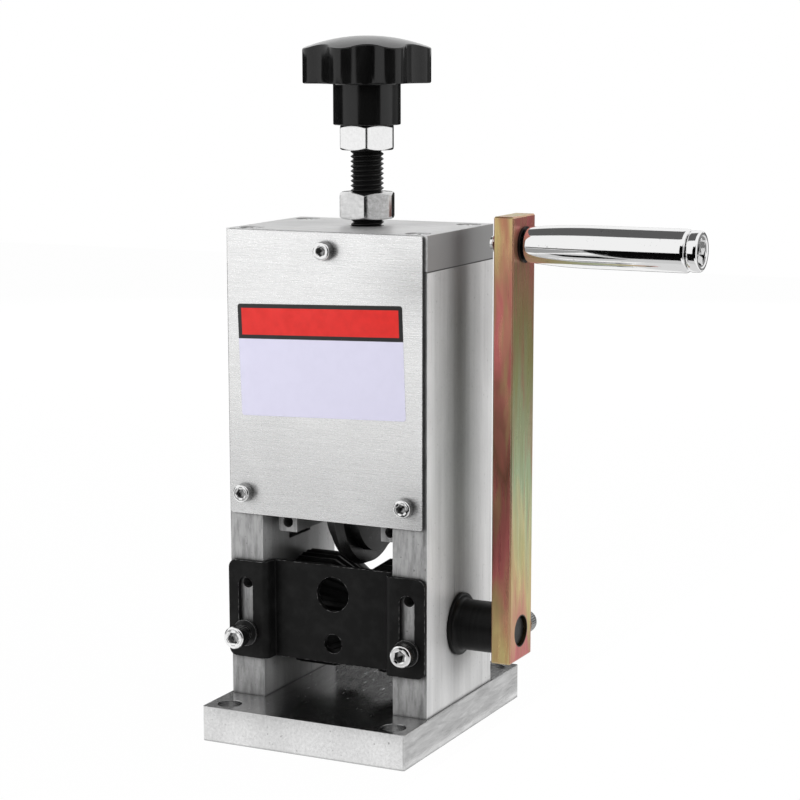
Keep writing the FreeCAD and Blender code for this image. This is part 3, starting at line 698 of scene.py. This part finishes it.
def oxide_metal():
    """Black oxide, with a little bare steel on the edges."""
    return machined("black_oxide", grey(26), 0.36, (600, 600, 600), metallic=0.5, streak=0.3, blotch=0.3,
                    grain_depth=0.006 * MM, edge=0.12 * MM, edge_colour=grey(60))


def roller_metal():
    """Darker oxide, with grain along the roller."""
    return machined("roller_oxide", grey(24), 0.42, (60, 700, 700), metallic=0.3, streak=0.3, blotch=0.3,
                    grain_depth=0.006 * MM, edge=0.12 * MM, edge_colour=grey(80))


def tool_metal():
    """Dark ground steel of the cutting parts."""
    return machined("ground_steel", grey(52), 0.3, (500, 90, 90), metallic=0.7, streak=0.3, blotch=0.2,
                    edge=0.15 * MM, edge_colour=grey(150))


def bronze_metal():
    return machined("bush_bronze", srgb(176, 130, 72), 0.4, (500, 500, 500), metallic=0.9, pits=0.4,
                    edge=0.15 * MM, edge_colour=srgb(220, 180, 120))


def black_sheet():
    """Satin black enamel over steel; it wears to bare metal along the sheared edges."""
    material, tree, shader = fresh_material("satin_black", 0.42, 0.0, 0.12)
    peel = noise(tree, (1400, 1400, 1400), detail=2.0)
    dust = noise(tree, (160, 160, 160), detail=4.0, roughness=0.7)
    shade = mixed(tree, spread(tree, dust, 0.45, 0.75), grey(18), grey(30))
    chips = spread(tree, noise(tree, (500, 500, 500), detail=3.0), 0.47, 0.58)
    shade = mixed(tree, times(tree, edge_mask(tree, 0.22 * MM), chips), shade, grey(175))
    finished(tree, shader, shade, spread(tree, dust, 0.3, 0.7, 0.36, 0.5),
             bump(tree, peel, 0.01 * MM, 0.6, bevel_normal(tree, 0.3 * MM)))
    return material


def sleeve_plastic():
    """Black plastic, turned, with fine rings."""
    material, tree, shader = fresh_material("sleeve_black", 0.38, 0.0, 0.15)
    rings = noise(tree, (1500, 60, 60), detail=3.0)
    shade = mixed(tree, spread(tree, rings, 0.3, 0.7), grey(12), grey(22))
    finished(tree, shader, shade, spread(tree, rings, 0.3, 0.7, 0.32, 0.44),
             bump(tree, rings, 0.01 * MM, 0.5))
    return material


def knob_plastic():
    """Polished black phenolic, with faint flow marks."""
    material, tree, shader = fresh_material("knob_black", 0.16, 0.0, 0.4)
    flow = noise(tree, (110, 110, 60), detail=4.0, distortion=0.8)
    shade = mixed(tree, spread(tree, flow, 0.35, 0.7), grey(10), grey(18))
    waves = noise(tree, (300, 300, 300), detail=2.0)
    finished(tree, shader, shade, spread(tree, flow, 0.3, 0.7, 0.12, 0.22),
             bump(tree, waves, 0.01 * MM, 0.4))
    return material


def chrome():
    """Plated mirror finish, with faint polishing lines round the grip and small specks."""
    material, tree, shader = fresh_material("chrome", 0.05, 1.0)
    lines = noise(tree, (1600, 120, 120), detail=4.0)
    specks = spread(tree, noise(tree, (700, 700, 700), detail=2.0), 0.68, 0.76)
    shade = mixed(tree, times(tree, specks, 0.35), grey(240), grey(150))
    finished(tree, shader, shade, spread(tree, lines, 0.3, 0.7, 0.03, 0.09),
             bump(tree, lines, 0.002 * MM, 0.5))
    return material


def from_shaft(tree):
    """Distance from the axis of the drive shaft."""
    shaft_low, shaft_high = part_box("drive_shaft")
    axis = (shaft_low + shaft_high) / 2
    own = node(tree, "ShaderNodeTexCoord").outputs["Object"]
    off = node(tree, "ShaderNodeVectorMath", {0: own, 1: (0, axis.y, axis.z)}, operation="SUBTRACT")
    across = node(tree, "ShaderNodeVectorMath", {0: off.outputs[0], 1: (0, 1, 1)}, operation="MULTIPLY")
    return node(tree, "ShaderNodeVectorMath", {0: across.outputs[0]}, operation="LENGTH").outputs["Value"]


def yellow_zinc():
    """Iridescent yellow zinc plating: colours that drift along the arm, others on its flats, painted shade in
    the bore.
    """
    material, tree, shader = fresh_material("yellow_zinc", 0.30, 0.75)
    low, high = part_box("crank_arm")
    along = spread(tree, own_place(tree, "Z"), low.z, high.z)
    drift = noise(tree, (90, 110, 16), detail=4.0, distortion=1.6)
    bands = math_node(tree, "ADD", along, spread(tree, drift, 0.3, 0.7, -0.09, 0.09))
    edges = ramp(tree, bands, arm_edge_colours)
    flats = ramp(tree, bands, arm_flat_colours)
    shade = mixed(tree, facing(tree, "X"), edges, flats)
    cloud = noise(tree, (170, 170, 24), detail=3.0, distortion=1.0)
    shade = mixed(tree, spread(tree, cloud, 0.52, 0.72, 0.0, 0.55), shade, srgb(176, 92, 82))
    shade = mixed(tree, spread(tree, cloud, 0.46, 0.28, 0.0, 0.55), shade, srgb(150, 160, 96))
    streaks = noise(tree, (900, 900, 40), detail=4.0)
    shade = mixed(tree, spread(tree, streaks, 0.3, 0.7, 0.0, 0.22), shade, srgb(120, 100, 70))
    worn = times(tree, edge_mask(tree, 0.3 * MM), worn_edge_share)
    shade = mixed(tree, worn, shade, srgb(226, 214, 190))
    # Painted shade in the bore round the recessed end of the shaft
    reach = from_shaft(tree)
    bore_shade = spread(tree, reach, crank_bore_r, crank_bore_r + 0.1 * MM, 0.9, 0.0)
    shade = mixed(tree, bore_shade, shade, grey(18))
    finished(tree, shader, shade, spread(tree, streaks, 0.3, 0.7, 0.24, 0.38),
             bump(tree, streaks, 0.006 * MM, 0.6))
    return material


def label_print():
    """Plain sticker: pale field under a red band with a dark frame, with a trace of scuffing."""
    material, tree, shader = fresh_material("label_print", 0.32)
    slope = math.tan(label_turned)
    x = own_place(tree, "X")
    z = own_place(tree, "Z")
    rise = math_node(tree, "SUBTRACT", z, times(tree, x, slope))
    band_low = label_centre_z + label_height / 2 - label_band - label_centre_x * slope
    in_band = spread(tree, rise, band_low, band_low + label_blur)
    slant = math_node(tree, "ADD", x, times(tree, z, slope))
    centre = label_centre_x + label_centre_z * slope
    off_x = math_node(tree, "ABSOLUTE", math_node(tree, "SUBTRACT", slant, centre))
    off_z = math_node(tree, "ABSOLUTE", math_node(tree, "SUBTRACT", rise, band_low + label_band / 2))
    past_x = math_node(tree, "SUBTRACT", off_x, label_width / 2 - label_frame)
    past_z = math_node(tree, "SUBTRACT", off_z, label_band / 2 - label_frame)
    in_frame = spread(tree, math_node(tree, "MAXIMUM", past_x, past_z), 0.0, label_blur)
    scuff = noise(tree, (300, 300, 300), detail=4.0)
    worn = spread(tree, scuff, 0.4, 0.7)
    pale = mixed(tree, worn, srgb(212, 210, 230), srgb(210, 208, 228))
    red = mixed(tree, worn, srgb(216, 34, 28), srgb(206, 32, 26))
    shade = mixed(tree, in_band, pale, mixed(tree, in_frame, red, grey(22)))
    finished(tree, shader, shade, spread(tree, scuff, 0.3, 0.7, 0.28, 0.40),
             bump(tree, scuff, 0.004 * MM, 0.5))
    return material


# Pieces

def dress_node(name, material):
    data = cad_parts[name].data
    data.materials.clear()
    data.materials.append(material)


def dress_nodes(materials):
    """Materials of the CAD nodes that are shown as they are."""
    plain = {
        "plate": ["side_plate_left", "side_plate_right", "blade_carriage"],
        "top": ["top_block"],
        "base": ["base_plate"],
        "cover": ["front_cover", "rear_cover"],
        "zinc": ["end_washer"],
        "washer": ["guide_washers"],
        "oxide": ["drive_shaft", "shaft_circlip", "handle_washer", "axle_screws", "blade_spacer_left",
                  "blade_spacer_right"],
        "roller": ["feed_roller"],
        "tool": ["roller_key", "screw_retainer", "cutting_blade", "blade_axle"],
        "bronze": ["shaft_bush_left", "shaft_bush_right"],
        "sheet": ["wire_guide"],
        "arm": ["crank_arm"],
    }
    for material, names in plain.items():
        for name in names:
            dress_node(name, materials[material])


def cap_screws(materials):
    """Every group of socket screws, each screw in the place of its CAD solid."""
    groups = {
        "base_screws": ("frame", DOWN), "top_screws": ("frame", UP), "front_cover_screws": ("frame", FRONT),
        "rear_cover_screws": ("frame", BACK), "guide_screws": ("frame", FRONT),
        "retainer_screws": ("carriage", UP), "crank_clamp_screw": ("drive", BACK),
    }
    finish = (materials["zinc"], materials["knurl"])
    for group, (body, direction) in groups.items():
        made = [cap_screw(low, high, direction, screw_turn_step * k)
                for k, (low, high) in enumerate(solid_boxes(group))]
        piece("cap_" + group, merged(made), body, finish, group)


def adjusting_screw(materials):
    """Threaded rod from its foot in the bridge up into the knob."""
    low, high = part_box("adjusting_screw")
    middle = (low + high) / 2
    start = Vector((middle.x, middle.y, low.z))
    neck_top = foot_height + neck_height
    foot = lofted([round_at(thread_r - 0.5 * MM, 0), round_at(thread_r, 0.5 * MM),
                   round_at(thread_r, foot_height - 0.3 * MM), round_at(thread_r - 0.3 * MM, foot_height),
                   round_at(neck_r, foot_height), round_at(neck_r, neck_top)], screw_rod_steps)
    rod = threaded(thread_r, thread_pitch, thread_depth, neck_top, high.z - low.z, screw_rod_steps)
    piece("screw_thread", merged([placed(foot, start, UP), placed(rod, start, UP)]), "adjuster",
          materials["oxide"], "adjusting_screw")


def nuts(materials):
    """Bright nut under the knob and the worn one over the top block."""
    for name, body, turn, finish in (("lock_nut", "lock_nut", lock_nut_turned, "worn"),
                                     ("knob_nut", "adjuster", knob_nut_turned, "zinc")):
        low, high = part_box(name)
        mesh = hex_nut(low + UP * nut_seat_gap, high, turn)
        piece("hex_" + name, mesh, body, materials[finish], name)


def knob(materials):
    mesh = knob_mesh(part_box("star_knob")[0].z)
    piece("knob_star", mesh, "adjuster", materials["knob"], "star_knob", corner=40)


def grip(materials):
    """Turning grip with a rounded neck, a long swell and a rounded end."""
    low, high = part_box("handle_grip")
    middle = (low + high) / 2
    length = high.x - low.x

    def swell(height):
        return grip_r - (grip_r - grip_neck_r) * max(0.0, 1 - height / grip_taper) ** 2

    bore_r = bolt_r + grip_bore_gap
    stations = [round_at(bore_r, 0.2 * MM)]
    neck_edge = grip_edge * 1.5
    stations += arc_stations(swell(neck_edge) - neck_edge, neck_edge, neck_edge, -90, 0, 6)
    for k in range(2, grip_taper_steps + 1):
        height = grip_taper * k / grip_taper_steps
        stations.append(round_at(swell(height), height))
    stations += [round_at(grip_r, length - 1.5 * grip_edge)]
    stations += arc_stations(grip_r - grip_edge, length - grip_edge, grip_edge, 0, 90, 6)
    stations += [round_at(bore_r, length)]
    mesh = placed(lofted(stations, turned_steps, hollow=True), Vector((low.x, middle.y, middle.z)), RIGHT)
    piece("grip_turned", mesh, "grip", materials["chrome"], "handle_grip")


def grip_bolt(materials):
    """Bolt through the grip: threaded tail behind the arm, round head with a hex socket."""
    low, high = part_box("handle_bolt")
    middle = (low + high) / 2
    length = high.x - low.x
    head_r = (high.y - low.y) / 2
    head_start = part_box("handle_grip")[1].x + grip_gap - low.x
    thread_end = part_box("crank_arm")[1].x - low.x
    edge = bolt_head_edge
    stations = [round_at(bolt_r - 0.1 * MM, thread_end - 1 * MM), round_at(bolt_r, head_start),
                round_at(head_r - edge, head_start)]
    stations += arc_stations(head_r - edge, head_start + edge, edge, -90, 0)
    stations += arc_stations(head_r - edge, length - edge, edge, 0, 90, 6)
    dish_r = head_r - edge - 0.5 * MM
    stations += [round_at(dish_r, length), round_at(dish_r - bolt_dish, length - bolt_dish),
                 round_at(hex_radius(bolt_socket, 0) + 0.1 * MM, length - bolt_dish),
                 hex_at(bolt_socket, length - 0.55 * MM), hex_at(bolt_socket, length - bolt_socket_depth),
                 round_at(0.5 * MM, length - bolt_socket_depth - 0.6 * MM)]
    body = lofted(stations, turned_steps)
    tail = threaded(bolt_r, bolt_thread_pitch, bolt_thread_depth, 0, thread_end, 32)
    start = Vector((low.x, middle.y, middle.z))
    mesh = merged([placed(body, start, RIGHT, bolt_turned), placed(tail, start, RIGHT)])
    piece("bolt_head", mesh, "drive", materials["chrome"], "handle_bolt")


def sleeve(materials):
    """Turned sleeve with a flange against the body and a cove in its corner."""
    low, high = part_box("spacer_sleeve")
    middle = (low + high) / 2
    length = high.x - low.x
    flange_r = (high.y - low.y) / 2
    edge = sleeve_edge
    stations = [round_at(sleeve_bore_r, 0)]
    stations += arc_stations(flange_r - edge, edge, edge, -90, 0)
    stations += arc_stations(flange_r - edge, sleeve_flange_thick - edge, edge, 0, 90)
    cove_z = sleeve_flange_thick + sleeve_cove_r
    for k in range(7):
        turn = math.radians(-90 - 90 * k / 6)
        stations.append(round_at(sleeve_r + sleeve_cove_r + sleeve_cove_r * math.cos(turn),
                                 cove_z + sleeve_cove_r * math.sin(turn)))
    stations += arc_stations(sleeve_r - edge, length - edge, edge, 0, 90)
    stations += [round_at(sleeve_bore_r, length)]
    mesh = placed(lofted(stations, turned_steps, hollow=True), Vector((low.x, middle.y, middle.z)), RIGHT)
    piece("sleeve_turned", mesh, "drive", materials["sleeve"], "spacer_sleeve")


def sticker(materials):
    """Thin blank sticker on the front cover, put on a little crooked."""
    cover_face_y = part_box("front_cover")[0].y
    mesh = bmesh.new()
    points = rounded_rectangle(label_width, label_height, label_corner_r)
    rings = []
    for lift, inset in ((0.0, 0.0), (label_thick * 0.8, 0.0), (label_thick, label_thick)):
        ring = []
        for x, z in points:
            scale_x = 1 - 2 * inset / label_width
            scale_z = 1 - 2 * inset / label_height
            ring.append(mesh.verts.new((x * scale_x, -lift, z * scale_z)))
        rings.append(ring)
    mesh.faces.new(list(reversed(rings[0])))
    mesh.faces.new(rings[-1])
    for low_ring, high_ring in zip(rings, rings[1:]):
        for k in range(len(points)):
            after = (k + 1) % len(points)
            mesh.faces.new((low_ring[k], low_ring[after], high_ring[after], high_ring[k]))
    bmesh.ops.recalc_face_normals(mesh, faces=mesh.faces)
    turn = Matrix.Rotation(-label_turned, 4, "Y")
    place = Matrix.Translation((label_centre_x, cover_face_y, label_centre_z))
    mesh.transform(place @ turn)
    piece("cover_sticker", mesh, "frame", materials["label"])


# Stage: camera, floor, reflectors and lamps

camera_azimuth = math.radians(26.889)
camera_elevation = math.radians(10.615)
camera_roll = math.radians(-0.227)
camera_distance = 838.06 * MM
camera_target = Vector((0, 0, 100 * MM))
camera_lens = 101.66
camera_sensor = 36
camera_shift = (0.04456, 0.0729)

# The floor ends right of the base, whose side and the arm mirror the studio below it
bench_edge_x = 49 * MM
bench_drop = 0.05 * MM
bench_reach = 1.6
floor_white_share = 0.985
ambient_strength = 0.22


def camera():
    """Camera of the photograph: it looks at a point from a given side, with a slight roll."""
    back = Vector((math.sin(camera_azimuth) * math.cos(camera_elevation),
                   -math.cos(camera_azimuth) * math.cos(camera_elevation), math.sin(camera_elevation)))
    level = Vector((math.cos(camera_azimuth), math.sin(camera_azimuth), 0))
    upright = back.cross(level)
    across = level * math.cos(camera_roll) + upright * math.sin(camera_roll)
    above = upright * math.cos(camera_roll) - level * math.sin(camera_roll)
    data = bpy.data.cameras.new("camera")
    data.lens = camera_lens
    data.sensor_width = camera_sensor
    data.shift_x, data.shift_y = camera_shift
    data.clip_start = 0.01
    thing = bpy.data.objects.new("camera", data)
    turn = Matrix((across, above, back)).transposed().to_4x4()
    thing.matrix_world = Matrix.Translation(camera_target + back * camera_distance) @ turn
    bpy.context.scene.collection.objects.link(thing)
    bpy.context.scene.camera = thing


def stage_plane(name, corners, material):
    data = bpy.data.meshes.new(name)
    data.from_pydata(corners, [], [(0, 1, 2, 3)])
    data.materials.append(material)
    thing = bpy.data.objects.new(name, data)
    bpy.context.scene.collection.objects.link(thing)
    return thing


def emptied(tree):
    """A node tree without the nodes that it starts with."""
    tree.nodes.clear()
    return tree


def seen_direct(tree):
    """1 for rays from the camera, from mirrors and through glass."""
    seen = node(tree, "ShaderNodeLightPath")
    direct = math_node(tree, "MAXIMUM", seen.outputs["Is Camera Ray"], seen.outputs["Is Glossy Ray"])
    return math_node(tree, "MAXIMUM", direct, seen.outputs["Is Transmission Ray"])


def floor_paper():
    """Pale floor that a camera, a mirror or glass sees as near white, and that keeps the shadow."""
    material = bpy.data.materials.new("floor_paper")
    material.use_nodes = True
    tree = emptied(material.node_tree)
    paper = node(tree, "ShaderNodeBsdfDiffuse", {"Color": grey(240)})
    white = node(tree, "ShaderNodeEmission", {"Color": (1, 1, 1, 1), "Strength": 1.0})
    share = times(tree, seen_direct(tree), floor_white_share)
    both = node(tree, "ShaderNodeMixShader", {0: share, 1: paper.outputs[0], 2: white.outputs[0]})
    node(tree, "ShaderNodeOutputMaterial", {"Surface": both.outputs[0]})
    return material


def card_paper(name, value):
    material = bpy.data.materials.new(name)
    material.use_nodes = True
    tree = emptied(material.node_tree)
    glow = node(tree, "ShaderNodeEmission", {"Color": grey(value), "Strength": 1.0})
    node(tree, "ShaderNodeOutputMaterial", {"Surface": glow.outputs[0]})
    return material


def card(name, corners, value):
    """Card that only mirrors see, which keeps the white of the studio out of part of their reflections."""
    thing = stage_plane(name, corners, card_paper(name, value))
    thing.visible_camera = False
    thing.visible_diffuse = False
    thing.visible_shadow = False
    thing.visible_transmission = False


def wall_card(name, start, end, low, high, value):
    """Upright card over a line on the floor, between two heights."""
    card(name, [(*start, low), (*end, low), (*end, high), (*start, high)], value)


def flat_card(name, low, high, height, value):
    """Level card over a rectangle on the floor."""
    card(name, [(*low, height), (high[0], low[1], height), (*high, height), (low[0], high[1], height)], value)


def reflectors():
    """Dark and grey cards round the bench. They leave white the front left, the right and above the back."""
    near, behind = -0.12, 0.35
    front, left, right, back = -0.70, -0.80, 0.80, 0.80
    wall_card("card_handle", (0.044, near), (0.15, near), 0.058, 0.165, 8)
    wall_card("card_handle_neck", (-0.02, near), (0.044, near), 0.152, 0.165, 90)
    wall_card("card_cover_low", (-0.01, near), (0.036, near), 0.02, 0.075, 8)
    wall_card("card_camera_side", (-0.05, front), (right, front), -0.30, 0.60, 8)
    wall_card("card_front_right", (right, front), (right, -0.24), -0.30, 0.60, 8)
    wall_card("card_right_back", (0.69, 0.44), (0.35, back), -0.04, 0.40, 140)
    wall_card("card_back", (0.35, back), (left, back), 0.0, 0.27, 40)
    wall_card("card_back_low", (-0.15, behind), (-0.50, behind), 0.0, 0.205, 14)
    wall_card("card_back_middle", (0.15, behind), (-0.15, behind), 0.0, 0.150, 14)
    wall_card("card_left_back", (left, back), (left, -0.41), 0.0, 0.30, 40)
    flat_card("card_ceiling", (-0.55, -0.28), (0.10, 0.44), 0.80, 95)
    flat_card("card_floor_left", (-0.45, -0.60), (-0.08, -0.18), 0.001, 160)
    flat_card("card_floor_near", (-0.06, -0.26), (0.20, -0.08), 0.001, 212)
    flat_card("card_floor_right", (0.043, -0.08), (0.30, 0.30), 0.001, 226)


def area_lamp(name, place, aim, size, power):
    """Soft box. Mirrors see the studio's white in its place, so its own glow isn't in their reflections."""
    data = bpy.data.lights.new(name, "AREA")
    data.shape = "RECTANGLE"
    data.size, data.size_y = size
    data.energy = power
    thing = bpy.data.objects.new(name, data)
    thing.location = place
    thing.rotation_euler = (Vector(aim) - Vector(place)).to_track_quat("-Z", "Y").to_euler()
    thing.visible_glossy = False
    bpy.context.scene.collection.objects.link(thing)


def lamps():
    """Key from the front left, a low one from the right and one from behind."""
    area_lamp("lamp_key", (-0.85, -1.25, 0.55), (0, 0, 0.1), (0.9, 0.9), 20)
    area_lamp("lamp_right", (0.74, 0.04, 0.26), (0.04, -0.002, 0.12), (0.9, 0.5), 7.5)
    area_lamp("lamp_back", (-0.5, 1.2, 0.4), (0, 0, 0.1), (0.8, 0.6), 11)


def studio():
    """White for camera, mirror and glass rays; plain grey light for the rest."""
    world = bpy.data.worlds.new("studio")
    bpy.context.scene.world = world
    world.use_nodes = True
    tree = emptied(world.node_tree)
    ambient = node(tree, "ShaderNodeBackground", {"Color": grey(255), "Strength": ambient_strength})
    white = node(tree, "ShaderNodeBackground", {"Color": (1, 1, 1, 1), "Strength": 1.0})
    direct = seen_direct(tree)
    both = node(tree, "ShaderNodeMixShader", {0: direct, 1: ambient.outputs[0], 2: white.outputs[0]})
    node(tree, "ShaderNodeOutputWorld", {"Surface": both.outputs[0]})


def stage():
    camera()
    near, far, level = -bench_reach, bench_reach, -bench_drop
    stage_plane("bench_top", [(-bench_reach, near, level), (bench_edge_x, near, level),
                              (bench_edge_x, far, level), (-bench_reach, far, level)], floor_paper())
    reflectors()
    lamps()
    studio()
    bpy.context.scene.view_settings.view_transform = "Standard"


def build():
    """Every piece of the visual model, dressed."""
    materials = {
        "plate": side_plate_metal(), "top": top_block_metal(), "base": base_metal(), "cover": cover_metal(),
        "zinc": zinc_metal(), "worn": worn_zinc(), "knurl": shaded_knurl_metal(), "washer": washer_metal(),
        "oxide": oxide_metal(), "roller": roller_metal(), "tool": tool_metal(),
        "bronze": bronze_metal(), "sheet": black_sheet(), "sleeve": sleeve_plastic(), "knob": knob_plastic(),
        "chrome": chrome(), "arm": yellow_zinc(), "label": label_print(),
    }
    dress_nodes(materials)
    cap_screws(materials)
    adjusting_screw(materials)
    nuts(materials)
    knob(materials)
    grip(materials)
    grip_bolt(materials)
    sleeve(materials)
    sticker(materials)


build()
stage()
